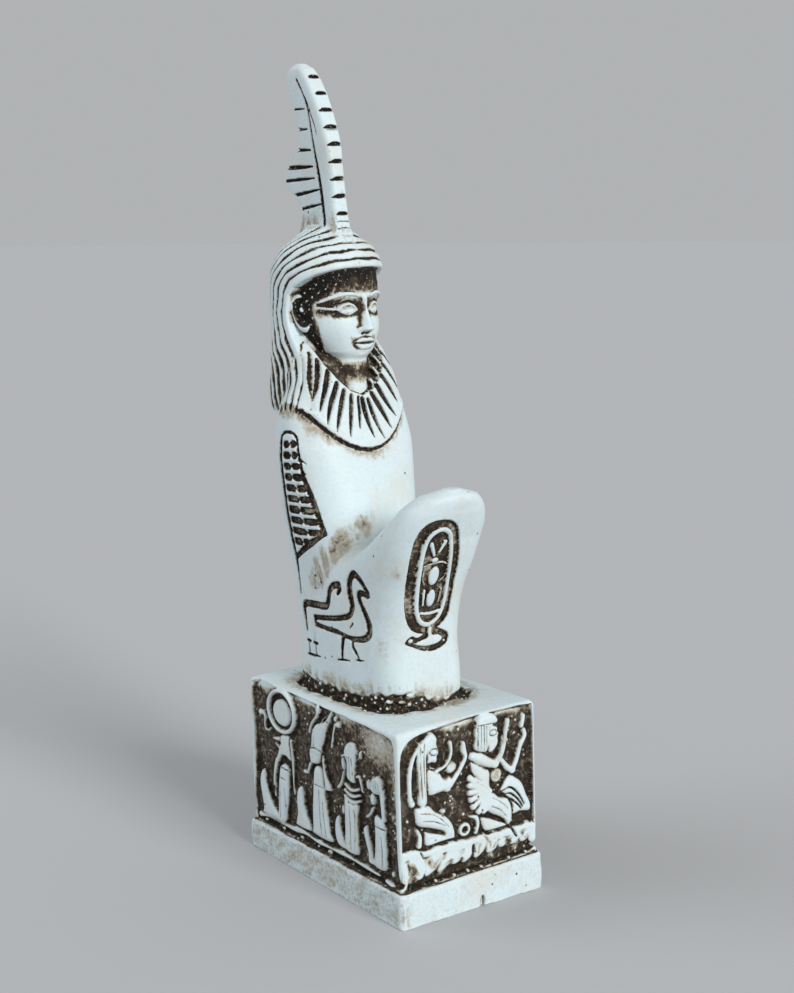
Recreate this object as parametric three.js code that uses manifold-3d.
// A cast figure of a squatting goddess with a tall feather on her head, on a plinth with relief panels.
// Millimetres, +Z up. She faces -Y, and her own right side is at -X. The underside lies on z = 0.
import * as THREE from 'three';
import { LoftGeometry } from 'three/addons/geometries/LoftGeometry.js';
import { mergeVertices } from 'three/addons/utils/BufferGeometryUtils.js';
import Module from 'manifold-3d';

const wasm = await Module();
wasm.setup();

// Plinth
const BLOCK_WIDTH = 41;
const BLOCK_LENGTH = 65.2;
const BLOCK_HEIGHT = 38.2;
const SLAB_HEIGHT = 8.3;
const SLAB_STEP = 1;
const EDGE_RADIUS = 1.1;
const PANEL_DEPTH = 1.2;
const PANEL_BORDER = 1.5;
const PANEL_LIP = 1.2;
const RELIEF_ROOT = 0.3;
const GROUND_LINE_HEIGHT = 2.4;

// The underside is ground a little out of square, so the whole casting leans by these angles
const LEAN_RIGHT = THREE.MathUtils.degToRad( 1.2 );
const LEAN_BACK = THREE.MathUtils.degToRad( 0.8 );

// Figure, measured from the nominal underside
const TOTAL_HEIGHT = 200;
const FOOT_LEVEL = SLAB_HEIGHT + BLOCK_HEIGHT;
const FOOT_GROOVE_WIDTH = 1.3;
const FOOT_GROOVE_DEPTH = 1.1;
const CARVING_DEPTH = 0.8;
const COLLAR_THICKNESS = 0.9;
const COLLAR_THROAT = 121;
const COLLAR_STROKES = 8;
const WING_BARS = 5;
const FAR_WING_BARS = 2;
const WING_LINE = 1.1;
const GOOSE_LINE = 1;
const SHIN_FRONT = 18.6;

// Head
const CHIN_LEVEL = 127.5;
const HAIRLINE_LEVEL = 150;
const FACE_FRONT = 6.4;
const FACE_HALF_WIDTH = 10.5;
const WIG_MIDDLE = 19;
const WIG_GROOVES = 3;
const WIG_GROOVE_PITCH = 3.6;

// Feather
const FEATHER_FOOT = 155;
const FEATHER_THICKNESS = 5.2;
const FEATHER_SQUARENESS = 5;
const SHAFT_DEPTH = 0.55;
const NOTCHES = 5;
const FIRST_NOTCH = 162.5;
const NOTCH_PITCH = 6.6;
const NOTCH_DEPTH = 0.7;
const NOTCH_HEIGHT = 1.6;
const BARB_LENGTH = 5;
const BARB_DEPTH = 0.6;
const BARB_HEIGHT = 1.2;

const COLUMNS = 24;
const LEG_ROWS = 14;
const TORSO_ROWS = 10;
const WIG_ROWS = 10;
const FEATHER_ROWS = 13;
const FEATHER_COLUMNS = 12;
const FLAT = { bevelEnabled: false, curveSegments: 3 };
const colour = new THREE.Color( 0xe4eaec );

// A section of a rounded body: its level, half width, front and back along Y, and squareness.
function section( [ z, halfWidth, front, back, squareness ], columns = COLUMNS ) {

	const middle = ( front + back ) / 2;
	const halfDepth = ( back - front ) / 2;
	const points = [];
	for ( let i = 0; i < columns; i ++ ) {

		const angle = i / columns * Math.PI * 2;
		const across = Math.sign( Math.cos( angle ) ) * Math.abs( Math.cos( angle ) ) ** ( 2 / squareness );
		const along = Math.sign( Math.sin( angle ) ) * Math.abs( Math.sin( angle ) ) ** ( 2 / squareness );
		points.push( new THREE.Vector3( halfWidth * across, middle + halfDepth * along, z ) );

	}

	return points;

}

// The row of a table of sections at any level, on a smooth curve through the rows.
function rowAt( table, z ) {

	let i = 0;
	while ( i < table.length - 2 && table[ i + 1 ][ 0 ] < z ) i ++;
	const reach = ( z - table[ i ][ 0 ] ) / ( table[ i + 1 ][ 0 ] - table[ i ][ 0 ] );
	const t = THREE.MathUtils.clamp( reach, 0, 1 );
	const before = table[ Math.max( i - 1, 0 ) ];
	const after = table[ Math.min( i + 2, table.length - 1 ) ];
	return table[ i ].map( ( value, k ) => {

		const next = table[ i + 1 ][ k ];
		const leave = ( next - before[ k ] ) / 2;
		const arrive = ( after[ k ] - value ) / 2;
		const t2 = t * t;
		const t3 = t2 * t;
		const smooth = ( 2 * t3 - 3 * t2 + 1 ) * value + ( t3 - 2 * t2 + t ) * leave
			+ ( 3 * t2 - 2 * t3 ) * next + ( t3 - t2 ) * arrive;
		return k === 0 ? z : smooth;

	} );

}

// A body through a table of sections, made larger or smaller all round by an offset.
function body( table, rows, { offset = 0, columns = COLUMNS } = {} ) {

	const bottom = table[ 0 ][ 0 ];
	const top = table.at( - 1 )[ 0 ];
	const sections = [];
	for ( let i = 0; i <= rows; i ++ ) {

		// Rows crowd towards the top, where bodies close
		const z = bottom + ( top - bottom ) * ( 1 - ( 1 - i / rows ) ** 1.25 );
		const [ level, halfWidth, front, back, squareness ] = rowAt( table, z );
		const row = [ level, halfWidth + offset, front - offset, back + offset, squareness ];
		sections.push( section( row, columns ) );

	}

	return solid( new LoftGeometry( sections, { capStart: true, capEnd: true } ) );

}

// A closed geometry as a solid for joining and cutting.
function solid( geometry ) {

	geometry.deleteAttribute( 'normal' );
	geometry.deleteAttribute( 'uv' );
	const merged = mergeVertices( new THREE.BufferGeometry().copy( geometry ), 1e-4 );
	return new wasm.Manifold( new wasm.Mesh( {
		numProp: 3,
		vertProperties: new Float32Array( merged.attributes.position.array ),
		triVerts: new Uint32Array( merged.index.array )
	} ) );

}

function join( solids ) {

	return solids.reduce( ( whole, piece ) => whole.add( piece ) );

}

// A shape drawn in the XZ plane that stands out towards -Y from the given Y, then turned about Z.
function prismTowardsFront( shape, y, depth, turn = 0 ) {

	const geometry = new THREE.ExtrudeGeometry( shape, { ...FLAT, depth } );
	geometry.rotateX( Math.PI / 2 );
	geometry.translate( 0, y, 0 );
	geometry.rotateZ( turn );
	return solid( geometry );

}

// A shape drawn in the YZ plane, standing out towards +X from a plane at the given X.
function prismAcross( shape, x, depth ) {

	const geometry = new THREE.ExtrudeGeometry( shape, { ...FLAT, depth } );
	const axes = new THREE.Matrix4().makeBasis(
		new THREE.Vector3( 0, 1, 0 ), new THREE.Vector3( 0, 0, 1 ), new THREE.Vector3( 1, 0, 0 ) );
	geometry.applyMatrix4( axes );
	geometry.translate( x, 0, 0 );
	return solid( geometry );

}

// A limb seen flat: a bar with round ends of two radii.
function bar( from, to, startRadius, endRadius = startRadius ) {

	const start = new THREE.Vector2( ...from );
	const end = new THREE.Vector2( ...to );
	const heading = end.clone().sub( start ).angle();
	const shape = new THREE.Shape();
	shape.absarc( start.x, start.y, startRadius, heading + Math.PI / 2, heading + Math.PI * 3 / 2, false );
	shape.absarc( end.x, end.y, endRadius, heading - Math.PI / 2, heading + Math.PI / 2, false );
	shape.closePath();
	return shape;

}

// A standing mass with a round head, wider at its foot.
function bullet( middle, foot, top, footWidth, headWidth, lean = 0 ) {

	const shape = new THREE.Shape();
	shape.moveTo( middle - footWidth / 2, foot );
	shape.lineTo( middle + footWidth / 2, foot );
	shape.absarc( middle + lean, top - headWidth / 2, headWidth / 2, 0, Math.PI, false );
	shape.closePath();
	return shape;

}

function disc( u, v, radiusU, radiusV = radiusU ) {

	const shape = new THREE.Shape();
	shape.absellipse( u, v, radiusU, radiusV, 0, Math.PI * 2 );
	return shape;

}

function ringShape( u, v, outerU, outerV, thickness ) {

	const shape = disc( u, v, outerU, outerV );
	shape.holes.push( disc( u, v, outerU - thickness, outerV - thickness ) );
	return shape;

}

function polygon( points ) {

	return new THREE.Shape( points.map( ( point ) => new THREE.Vector2( ...point ) ) );

}

// Tables of sections: level, half width, front, back, squareness
const legs = [
	[ FOOT_LEVEL - 3, 12.8, - 19.2, 22.8, 4.2 ],
	[ 54, 12.8, - 19.1, 22.8, 4.2 ],
	[ 62, 12.7, - 19.0, 19.8, 3.8 ],
	[ 69, 12.8, - 20.2, 14.3, 3.4 ],
	[ 76, 13.1, - 22.6, 6.0, 3.1 ],
	[ 82, 13.4, - 25.3, - 2.0, 3.0 ],
	[ 88, 13.1, - 27.8, - 11.0, 2.8 ],
	[ 92, 12.2, - 29.9, - 15.6, 2.6 ],
	[ 95.5, 10.5, - 31.5, - 18.8, 2.4 ],
	[ 98.4, 7.4, - 32.2, - 22.4, 2.2 ],
	[ 100, 2.4, - 30.6, - 26.2, 2 ],
];
const torso = [
	[ FOOT_LEVEL - 3, 12.6, - 10, 22.8, 4.2 ],
	[ 56, 12.8, - 10, 23.2, 4.0 ],
	[ 66, 13.4, - 9, 25.2, 3.4 ],
	[ 76, 14.3, - 6, 26.4, 3.0 ],
	[ 86, 15.6, - 1.6, 26.8, 2.8 ],
	[ 96, 16.9, 1.0, 26.8, 2.7 ],
	[ 107, 17.8, 3.5, 26.0, 2.7 ],
	[ 113, 17.2, 5.4, 25.4, 2.6 ],
	[ 118, 15.6, 6.2, 25.0, 2.5 ],
	[ 122, 14.0, 6.6, 24.4, 2.5 ],
	[ 127, 12.0, 8.0, 23.6, 2.4 ],
	[ 132, 9.8, 10.4, 22.8, 2.2 ],
];
const wig = [
	[ 115.2, 14.0, 14.4, 31.8, 2.4 ],
	[ 119, 14.8, 11.5, 32.7, 2.4 ],
	[ 126, 14.4, 9.5, 32.7, 2.4 ],
	[ 136, 13.8, 7.4, 32.7, 2.4 ],
	[ 146, 13.6, 6.2, 33.2, 2.4 ],
	[ 151, 13.0, 6.2, 33.0, 2.3 ],
	[ 155, 11.0, 8.0, 30.6, 2.2 ],
	[ 158, 7.4, 11.2, 27.0, 2.1 ],
	[ 160.4, 3.6, 13.0, 25.0, 2.0 ],
];
const face = [
	[ CHIN_LEVEL, 4.2, 8.8, 18, 2.2 ],
	[ CHIN_LEVEL + 2.5, 7.0, 7.4, 22, 2.3 ],
	[ CHIN_LEVEL + 7.5, 9.6, FACE_FRONT + 0.4, 28, 2.3 ],
	[ CHIN_LEVEL + 13, FACE_HALF_WIDTH, FACE_FRONT + 0.5, 30, 2.3 ],
	[ CHIN_LEVEL + 16, FACE_HALF_WIDTH, FACE_FRONT + 0.1, 30, 2.3 ],
	[ HAIRLINE_LEVEL + 2, FACE_HALF_WIDTH - 0.6, FACE_FRONT + 0.5, 30, 2.3 ],
];

// The feather in side view: its front and back edges, and its half thickness
const feather = [
	[ FEATHER_FOOT, 9.0, 31.0, 2.9 ],
	[ 160, 11.2, 28.0, 2.7 ],
	[ 165, 12.1, 27.2, 2.6 ],
	[ 168, 12.3, 30.4, 2.5 ],
	[ 171, 12.6, 34.2, 2.5 ],
	[ 174.5, 13.0, 34.0, 2.5 ],
	[ 178, 13.5, 29.4, 2.6 ],
	[ 181, 14.2, 27.2, 2.6 ],
	[ 187, 16.5, 28.2, 2.6 ],
	[ 192, 19.0, 30.0, 2.6 ],
	[ 196, 21.7, 31.3, 2.5 ],
	[ 198.6, 24.0, 31.2, 2.2 ],
	[ TOTAL_HEIGHT, 26.2, 29.6, 1.2 ],
];

// A pointed cut in side view, from its open end to its point.
function wedge( open, point, level, height ) {

	return polygon( [ [ open, level - height / 2 ], [ point, level ], [ open, level + height / 2 ] ] );

}

function makeFeather() {

	const sections = [];
	for ( let i = 0; i <= FEATHER_ROWS; i ++ ) {

		const z = FEATHER_FOOT + ( TOTAL_HEIGHT - FEATHER_FOOT ) * ( 1 - ( 1 - i / FEATHER_ROWS ) ** 1.15 );
		const [ level, front, back, halfThickness ] = rowAt( feather, z );
		sections.push( section( [ level, halfThickness, front, back, FEATHER_SQUARENESS ], FEATHER_COLUMNS ) );

	}

	// The shaft is a groove up both broad sides; notches cross the front edge and the back of each side
	const shaft = polygon( [
		[ 14.9, 161 ], [ 15.9, 161 ], [ 18.5, 174.8 ], [ 21.6, 185.3 ],
		[ 26.4, 195.8 ], [ 20.8, 185.3 ], [ 17.7, 174.8 ],
	] );
	const face = FEATHER_THICKNESS / 2;
	const cuts = [ - face, face ].map( ( x ) => prismAcross( shaft, x - SHAFT_DEPTH, SHAFT_DEPTH * 2 ) );
	for ( let i = 0; i < NOTCHES; i ++ ) {

		const level = FIRST_NOTCH + i * NOTCH_PITCH;
		const [ , front, back ] = rowAt( feather, level );
		const notch = wedge( front - 1, front + NOTCH_DEPTH, level, NOTCH_HEIGHT );
		const barb = wedge( back + 1, back - BARB_LENGTH, level, BARB_HEIGHT );
		cuts.push( prismAcross( notch, - face + BARB_DEPTH, FEATHER_THICKNESS - BARB_DEPTH * 2 ) );
		cuts.push( prismAcross( barb, - face - 1, 1 + BARB_DEPTH ) );
		cuts.push( prismAcross( barb, face - BARB_DEPTH, 1 + BARB_DEPTH ) );

	}

	return solid( new LoftGeometry( sections, { capStart: true, capEnd: true } ) ).subtract( join( cuts ) );

}

// Half width of the wig at a place seen from the side, or nothing outside it.
function wigHalfWidthAt( y, z ) {

	const [ , halfWidth, front, back, squareness ] = rowAt( wig, z );
	const off = Math.abs( y - ( front + back ) / 2 ) / ( ( back - front ) / 2 );
	return off < 1 ? halfWidth * ( 1 - off ** squareness ) ** ( 1 / squareness ) : 0;

}

// One groove of the wig, on both sides at once: up the hair behind the ear, then forward over the brow.
function wigGroove( index ) {

	const hem = 117.5;
	const turn = new THREE.Vector2( 7, 141 );
	const reach = 9.6 + index * WIG_GROOVE_PITCH;
	const rise = 10.6 + index * WIG_GROOVE_PITCH * 0.62;
	const steps = 5;
	const upright = 2;
	const pieces = [];
	for ( const side of [ - 1, 1 ] ) {

		const path = [];
		for ( let i = 0; i <= steps; i ++ ) {

			const angle = Math.max( i - upright, 0 ) / ( steps - upright ) * Math.PI * 0.46;
			const y = turn.x + reach * Math.cos( angle );
			const climb = THREE.MathUtils.lerp( hem, turn.y, Math.min( i / upright, 1 ) );
			const z = climb + rise * Math.sin( angle );
			path.push( new THREE.Vector3( side * wigHalfWidthAt( y, z ), y, z ) );

		}

		const sections = path.map( ( point, i ) => {

			const ahead = path[ Math.min( i + 1, steps ) ].clone().sub( path[ Math.max( i - 1, 0 ) ] ).normalize();
			const above = Math.max( point.z - HAIRLINE_LEVEL, 0 );
			const out = new THREE.Vector3( point.x, ( point.y - WIG_MIDDLE ) / 2, above * 2 ).normalize();
			const across = new THREE.Vector3().crossVectors( ahead, out ).normalize();
			const corner = ( a, b ) => point.clone().addScaledVector( across, a ).addScaledVector( out, b );
			return [ corner( 0.75, 0.8 ), corner( 0, - CARVING_DEPTH ), corner( - 0.75, 0.8 ) ];

		} );
		pieces.push( solid( new LoftGeometry( sections, { capStart: true, capEnd: true } ) ) );

	}

	return join( pieces );

}

// The head: wig with a face set in its opening, and ears in front of the hair.
function makeHead() {

	// In side view the wig stops at the brow and behind the ears
	const opening = polygon( [ [ - 9, 150.6 ], [ 7, 150.2 ], [ 10.4, 148.4 ], [ 13.2, 145 ], [ 14.6, 141 ],
		[ 14.8, 135 ], [ 14.2, 128 ], [ 12.8, 120 ], [ 12.8, 110 ], [ - 9, 110 ] ] );
	let head = body( wig, WIG_ROWS ).subtract( prismAcross( opening, - BLOCK_WIDTH / 2, BLOCK_WIDTH ) );
	for ( let i = 0; i < WIG_GROOVES; i ++ ) head = head.subtract( wigGroove( i ) );
	head = head.add( body( face, 7, { columns: 16 } ) );

	// The nose from its wings to the brow: level, half widths at the cheeks and on the ridge, front
	const nose = [ [ 134.7, 1.7, 0.6, 5.6 ], [ 135.6, 2.0, 0.8, 3.9 ], [ 142.4, 0.8, 0.5, 6.2 ] ];
	head = head.add( solid( new LoftGeometry( nose.map( ( [ z, cheek, ridge, front ] ) => [
		new THREE.Vector3( - cheek, FACE_FRONT + 1.2, z ), new THREE.Vector3( - ridge, front, z ),
		new THREE.Vector3( ridge, front, z ), new THREE.Vector3( cheek, FACE_FRONT + 1.2, z ),
	] ), { capStart: true, capEnd: true } ) ) );

	for ( const side of [ - 1, 1 ] ) {

		const eye = new THREE.SphereGeometry( 1, 8, 5 ).scale( 2.0, 0.9, 0.95 ).rotateZ( side * 0.35 );
		head = head.add( solid( eye.translate( side * 4.0, 7.6, 140.2 ) ) );
		const brow = new THREE.SphereGeometry( 1, 6, 4 ).scale( 2.9, 0.8, 0.45 ).rotateZ( side * 0.4 );
		head = head.add( solid( brow.translate( side * 4.2, 7.3, 142.9 ) ) );
		const ear = new THREE.SphereGeometry( 1, 8, 6 ).scale( 1.1, 1.8, 3.7 ).rotateX( 0.12 );
		head = head.add( solid( ear.translate( side * 11, 13.2, 140.2 ) ) );

	}

	const lips = new THREE.SphereGeometry( 1, 8, 4 ).scale( 2.8, 0.9, 1.1 );
	return head.add( solid( lips.translate( 0, 6.9, 132 ) ) );

}

// The broad collar: a raised bib that climbs the sides of the neck, with strokes spread from the throat.
function makeCollar() {

	const outline = new THREE.Shape();
	outline.moveTo( - 22, 128.1 );
	outline.quadraticCurveTo( 0, 84.5, 22, 128.1 );
	outline.lineTo( 9.6, 131 );
	outline.quadraticCurveTo( 0, COLLAR_THROAT * 2 - 131, - 9.6, 131 );
	const chest = body( torso, TORSO_ROWS, { offset: COLLAR_THICKNESS } );
	let collar = chest.intersect( prismTowardsFront( outline, WIG_MIDDLE, 30 ) );
	const centre = COLLAR_THROAT + 8;
	for ( let i = 0; i < COLLAR_STROKES; i ++ ) {

		const angle = ( i / ( COLLAR_STROKES - 1 ) - 0.5 ) * 2;
		const across = new THREE.Vector2( Math.cos( angle ), Math.sin( angle ) );
		const corner = ( radius, halfWidth ) => [
			radius * Math.sin( angle ) + halfWidth * across.x,
			centre - radius * Math.cos( angle ) + halfWidth * across.y,
		];
		collar = collar.subtract( prismTowardsFront( polygon( [
			corner( 9.6, - 0.45 ), corner( 9.6, 0.45 ), corner( 18.6, 0.3 ), corner( 18.6, - 0.3 ) ] ), 12, 30 ) );

	}

	return collar;

}

// A strip of even width along a line of points, as a shape.
function strip( line, width, closed = false ) {

	const clockwise = THREE.ShapeUtils.isClockWise( line.map( ( [ x, y ] ) => ( { x, y } ) ) );
	const points = clockwise ? line.toReversed() : line;
	const count = points.length;
	const place = ( i ) => closed ? ( i + count ) % count : THREE.MathUtils.clamp( i, 0, count - 1 );
	const at = ( i ) => new THREE.Vector2( ...points[ place( i ) ] );
	const edge = ( side ) => points.map( ( point, i ) => {

		const along = at( i + 1 ).sub( at( i - 1 ) ).setLength( side * width / 2 );
		return new THREE.Vector2( point[ 0 ] - along.y, point[ 1 ] + along.x );

	} );
	if ( ! closed ) return new THREE.Shape( edge( - 1 ).concat( edge( 1 ).reverse() ) );
	const shape = new THREE.Shape( edge( - 1 ) );
	shape.holes.push( new THREE.Path( edge( 1 ) ) );
	return shape;

}

// The folded wing on the upper arm in side view: its outline, and bars across it.
function wingShapes( bars ) {

	const top = 110.6;
	const corner = 87;
	const back = 15.2;
	const frontEdge = ( z ) => 10.1 - ( top - z ) * 0.285;
	const outline = [
		[ back, top ], [ back, 81 ], [ 16.7, 71.5 ], [ 13.4, 80.4 ],
		[ frontEdge( corner ), corner ], [ frontEdge( top ), top ],
	];
	const shapes = [ strip( outline, WING_LINE, true ) ];
	for ( let i = 1; i <= bars; i ++ ) {

		const z = top - i * ( top - corner ) / ( bars + 0.5 );
		shapes.push( strip( [ [ frontEdge( z ), z ], [ back, z - 0.6 ] ], WING_LINE ) );

	}

	return shapes;

}

// Two geese in side view, the nearer one whole and the farther one partly behind it.
function gooseShapes() {

	const near = [
		[ 9.1, 65.6 ], [ - 1.5, 66.8 ], [ - 4.4, 75 ], [ - 6.6, 78 ], [ - 9.4, 76.6 ],
		[ - 8.4, 73 ], [ - 10.6, 66 ], [ - 8.4, 62.4 ], [ - 1.6, 61.8 ], [ 9.1, 63.4 ],
	];
	const far = [ [ 14.5, 62.4 ], [ 14.8, 67.2 ], [ 5.2, 68.4 ], [ 1.6, 72.6 ], [ 0.2, 76 ], [ - 1.8, 73.6 ] ];
	const leg = ( y ) => strip( [ [ y, 61.8 ], [ y, 57 ], [ y - 2.4, 56.2 ] ], GOOSE_LINE );
	return [ strip( near, GOOSE_LINE, true ), strip( far, GOOSE_LINE ), leg( - 1.4 ), leg( - 4.6 ) ];

}

// The oval name ring on the shins with its tie, empty but for one plain stroke.
function ringShapes() {

	const top = [ - 2.6, 91.5 ];
	const bottom = [ 0, 66.5 ];
	const lean = Math.atan2( top[ 0 ] - bottom[ 0 ], top[ 1 ] - bottom[ 1 ] );
	const middle = [ ( top[ 0 ] + bottom[ 0 ] ) / 2, ( top[ 1 ] + bottom[ 1 ] ) / 2 ];
	const oval = [];
	for ( let i = 0; i < 12; i ++ ) {

		const angle = i / 12 * Math.PI * 2;
		const across = 5.6 * Math.cos( angle );
		const along = 13.4 * Math.sin( angle );
		oval.push( [ middle[ 0 ] + across + along * Math.sin( lean ), middle[ 1 ] + along ] );

	}

	return [
		strip( oval, 1.5, true ),
		strip( [ [ middle[ 0 ] - 0.8, middle[ 1 ] + 8 ], [ middle[ 0 ] + 0.6, middle[ 1 ] - 7 ] ], 1.4 ),
		polygon( [ [ - 2.4, 63.8 ], [ - 5.6, 61.4 ], [ 5.4, 61.4 ], [ 3, 63.8 ] ] ),
	];

}

// The figure from foot to crown, carved to an even depth under its own surface.
function makeFigure() {

	const trunk = ( offset ) => body( torso, TORSO_ROWS, { offset } ).add( body( legs, LEG_ROWS, { offset } ) );
	let figure = trunk( 0 );
	const core = trunk( - CARVING_DEPTH );
	for ( const side of [ - 1, 1 ] ) {

		const shapes = side < 0 ? wingShapes( WING_BARS ).concat( gooseShapes() ) : wingShapes( FAR_WING_BARS );
		const carving = join( shapes.map( ( shape ) => prismAcross( shape, side > 0 ? 4 : - 24, 20 ) ) );
		figure = figure.subtract( carving.subtract( core ) );

	}

	const bed = - SHIN_FRONT + CARVING_DEPTH;
	const ring = join( ringShapes().map( ( shape ) => prismTowardsFront( shape, bed, SHIN_FRONT ) ) );
	figure = figure.subtract( ring.subtract( core ) );
	return join( [ figure, makeCollar(), makeHead(), makeFeather() ] );

}

// A seated god in profile, facing left: knees, back, head and headdress.
function seatedGod( u, foot, top, headdress ) {

	const shoulder = foot + ( top - foot ) * 0.62;
	const masses = [
		bullet( u - 6.4, foot - 1, foot + ( top - foot ) * 0.42, 4.6, 2.2, - 0.6 ),
		bullet( u, foot - 1, shoulder, 7, 4.6, 0.4 ),
		disc( u - 0.2, shoulder + 1.6, 2.2, 2.6 ),
	];
	return masses.concat( headdress( u, shoulder + 3.4, top ) );

}

const discCrown = ( u, foot, top ) => {

	const middle = ( foot + top ) / 2 + 0.6;
	return [ ringShape( u - 0.5, middle, 5.8, 6.2, 1.1 ), disc( u - 0.5, middle, 3.7, 4.1 ) ];

};

const tallCrown = ( u, foot, top ) => [ bar( [ u - 1, foot + 1.5 ], [ u + 2.8, top ], 2.3, 0.8 ) ];
const longWig = ( u, foot ) => [ bar( [ u, foot - 6 ], [ u, foot - 0.5 ], 2.6, 2.2 ) ];
const headcloth = ( u, foot ) => [ bar( [ u + 1.8, foot - 7 ], [ u + 0.2, foot - 1 ], 1.6, 2.2 ) ];
const bareHead = () => [];

// The four gods of a long side, on a low ground line. The far side has them without headdresses.
function longSideShapes( headdresses ) {

	const foot = SLAB_HEIGHT + GROUND_LINE_HEIGHT;
	const end = BLOCK_LENGTH / 2 - PANEL_BORDER;
	const ground = polygon( [ [ - end, SLAB_HEIGHT ], [ end, SLAB_HEIGHT ], [ end, foot - 0.9 ], [ - end, foot ] ] );
	const places = [ [ - 17, 46 ], [ - 0.6, 45.4 ], [ 13.4, 40.5 ], [ 24.8, 35 ] ];
	return [ ground, ...places.flatMap( ( [ u, top ], i ) => seatedGod( u, foot, top, headdresses[ i ] ) ) ];

}

// A kneeling worshipper facing right, placed by the hip, with one hand raised or both.
function worshipper( u, v, scale, hands ) {

	const at = ( a, b ) => [ u + a * scale, v + b * scale ];
	const figure = [
		bar( at( 0, 0 ), at( 1.2, 9 ), 2.2 * scale, 2.4 * scale ),
		disc( ...at( 3, 14.2 ), 2.6 * scale, 3 * scale ),
		bar( at( 0.6, 14 ), at( - 0.6, 5 ), 2.2 * scale, 1.5 * scale ),
		bar( at( 2, 9 ), at( 8, 5 ), 1.4 * scale ),
		bar( at( 8, 5 ), at( 11.6, 14 ), 1.2 * scale, 0.9 * scale ),
		bar( at( 0.4, - 1 ), at( 8.4, - 5.6 ), 2.6 * scale, 1.6 * scale ),
		bar( at( 8.2, - 7 ), at( 0.2, - 7.4 ), 1.6 * scale, 1.3 * scale ),
	];
	if ( hands > 1 ) figure.push( bar( at( 5, 7.5 ), at( 7.6, 14.5 ), 1.1 * scale, 0.8 * scale ) );
	return figure;

}

// The two worshippers of a short side, above a rocky ground.
function shortSideShapes( hands ) {

	const low = SLAB_HEIGHT + 0.4;
	const high = SLAB_HEIGHT + 9.2;
	const half = BLOCK_WIDTH / 2 - PANEL_BORDER;
	const teeth = 4;
	const rocks = [ [ - half, high ], [ - half, low ] ];
	for ( let i = 0; i <= teeth; i ++ ) {

		const u = - half + ( i + 0.5 ) / ( teeth + 1 ) * half * 2;
		rocks.push( [ u - 1.4, high - 3.2 ], [ u, low + 1.6 ] );

	}

	rocks.push( [ half, low + 4 ], [ half, high ] );
	return [
		polygon( rocks ),
		...worshipper( - 13.2, 27, 0.95, hands ),
		...worshipper( 3.4, 28.6, 1.02, hands ),
		bar( [ 10, 27.6 ], [ 17, 22 ], 2, 1.4 ),
	];

}

// One face of the block: a sunk panel with its relief, turned to face outwards.
function cutPanel( plinth, halfLength, halfDistance, turn, shapes ) {

	const side = halfLength - PANEL_BORDER;
	const top = FOOT_LEVEL - PANEL_LIP;
	const panel = polygon( [ [ - side, SLAB_HEIGHT ], [ side, SLAB_HEIGHT ], [ side, top ], [ - side, top ] ] );
	const bed = - halfDistance + PANEL_DEPTH;
	const root = bed + RELIEF_ROOT;
	const height = PANEL_DEPTH + RELIEF_ROOT;
	const recess = prismTowardsFront( panel, bed, PANEL_DEPTH * 3, turn );
	const opening = prismTowardsFront( panel, root, height, turn );
	const relief = join( shapes.map( ( shape ) => prismTowardsFront( shape, root, height, turn ) ) );
	return plinth.subtract( recess ).add( relief.intersect( opening ) );

}

function roundedRectangle( width, length, radius ) {

	const shape = new THREE.Shape();
	const x = width / 2 - radius;
	const y = length / 2 - radius;
	shape.absarc( x, y, radius, 0, Math.PI / 2 );
	shape.absarc( - x, y, radius, Math.PI / 2, Math.PI );
	shape.absarc( - x, - y, radius, Math.PI, Math.PI * 3 / 2 );
	shape.absarc( x, - y, radius, Math.PI * 3 / 2, Math.PI * 2 );
	return shape;

}

// A block with softened edges, from one level to another.
function softBlock( width, length, bottom, top ) {

	const bevel = EDGE_RADIUS * 0.6;
	const shape = roundedRectangle( width - bevel * 2, length - bevel * 2, EDGE_RADIUS * 0.6 );
	const geometry = new THREE.ExtrudeGeometry( shape, {
		depth: top - bottom - bevel * 2,
		bevelThickness: bevel,
		bevelSize: bevel,
		bevelSegments: 1,
		curveSegments: 2,
	} );
	geometry.translate( 0, 0, bottom + bevel );
	return solid( geometry );

}

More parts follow.
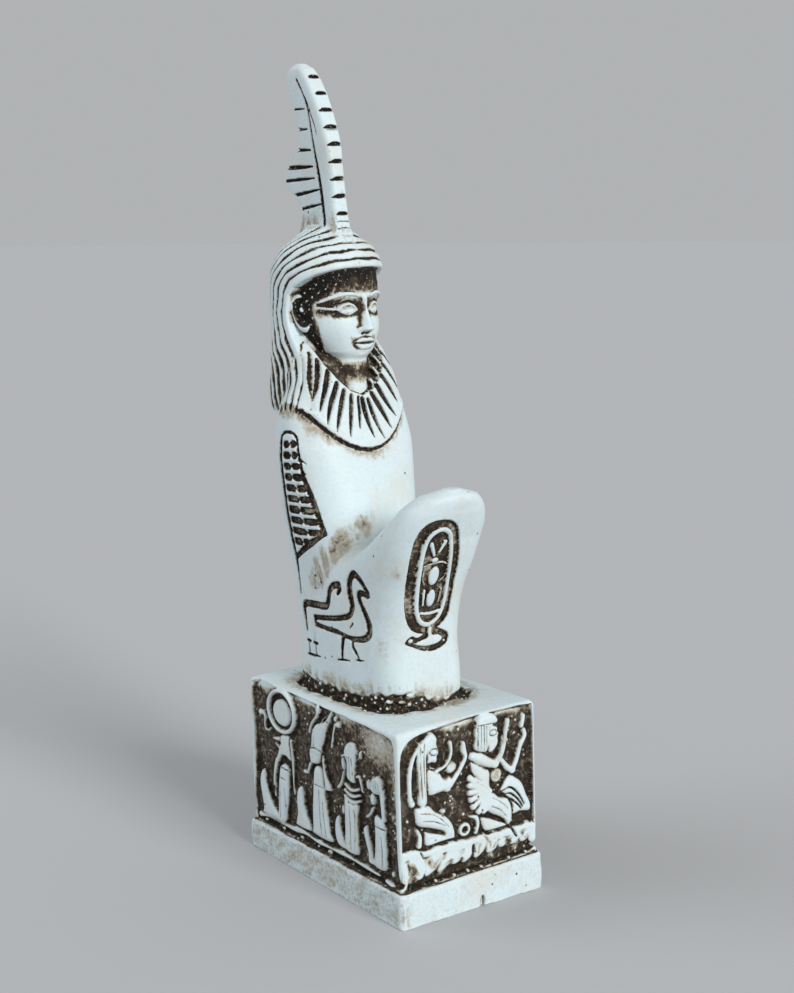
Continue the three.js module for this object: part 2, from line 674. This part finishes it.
function makePlinth() {

	const slab = softBlock( BLOCK_WIDTH + SLAB_STEP * 2, BLOCK_LENGTH + SLAB_STEP * 2, - 6, SLAB_HEIGHT );
	const block = softBlock( BLOCK_WIDTH, BLOCK_LENGTH, SLAB_HEIGHT - 3, FOOT_LEVEL );
	let plinth = slab.add( block );
	plinth = cutPanel( plinth, BLOCK_LENGTH / 2, BLOCK_WIDTH / 2, - Math.PI / 2,
		longSideShapes( [ discCrown, tallCrown, longWig, headcloth ] ) );
	plinth = cutPanel( plinth, BLOCK_LENGTH / 2, BLOCK_WIDTH / 2, Math.PI / 2,
		longSideShapes( [ bareHead, tallCrown, bareHead, bareHead ] ) );
	plinth = cutPanel( plinth, BLOCK_WIDTH / 2, BLOCK_LENGTH / 2, 0, shortSideShapes( 2 ) );
	plinth = cutPanel( plinth, BLOCK_WIDTH / 2, BLOCK_LENGTH / 2, Math.PI, shortSideShapes( 1 ) );

	// The groove all round the foot of the figure
	const [ , halfWidth, front, back, squareness ] = rowAt( legs, FOOT_LEVEL );
	const groove = [ FOOT_LEVEL - FOOT_GROOVE_DEPTH, FOOT_LEVEL + 2 ].map( ( z ) => section( [
		z, halfWidth + FOOT_GROOVE_WIDTH, front - FOOT_GROOVE_WIDTH, back + FOOT_GROOVE_WIDTH, squareness,
	] ) );
	return plinth.subtract( solid( new LoftGeometry( groove, { capStart: true, capEnd: true } ) ) );

}

// The surface of a solid as a geometry.
function surface( manifold ) {

	const mesh = manifold.getMesh();
	const geometry = new THREE.BufferGeometry();
	geometry.setAttribute( 'position', new THREE.BufferAttribute( mesh.vertProperties, 3 ) );
	geometry.setIndex( new THREE.BufferAttribute( mesh.triVerts, 1 ) );
	return geometry;

}

// Leans the casting, cuts it flat on the ground and puts the middle of its box over the origin.
function standOnGround( casting ) {

	const leaning = surface( casting ).applyMatrix4( new THREE.Matrix4().makeRotationFromEuler(
		new THREE.Euler( - LEAN_BACK, - LEAN_RIGHT, 0 ) ) );
	const below = new THREE.BoxGeometry( BLOCK_LENGTH * 2, BLOCK_LENGTH * 2, BLOCK_LENGTH );
	below.translate( 0, 0, - BLOCK_LENGTH / 2 );
	const geometry = surface( solid( leaning ).subtract( solid( below ) ) );
	geometry.computeBoundingBox();
	const middle = geometry.boundingBox.getCenter( new THREE.Vector3() );
	geometry.translate( - middle.x, - middle.y, - geometry.boundingBox.min.z );
	const faceted = geometry.toNonIndexed();
	faceted.computeVertexNormals();
	return faceted;

}

const statue = new THREE.Mesh(
	standOnGround( makePlinth().add( makeFigure() ) ),
	new THREE.MeshStandardMaterial( { color: colour, roughness: 0.45, metalness: 0 } )
);
statue.name = 'maat_statue';

const group = new THREE.Group();
group.add( statue );
export default group;
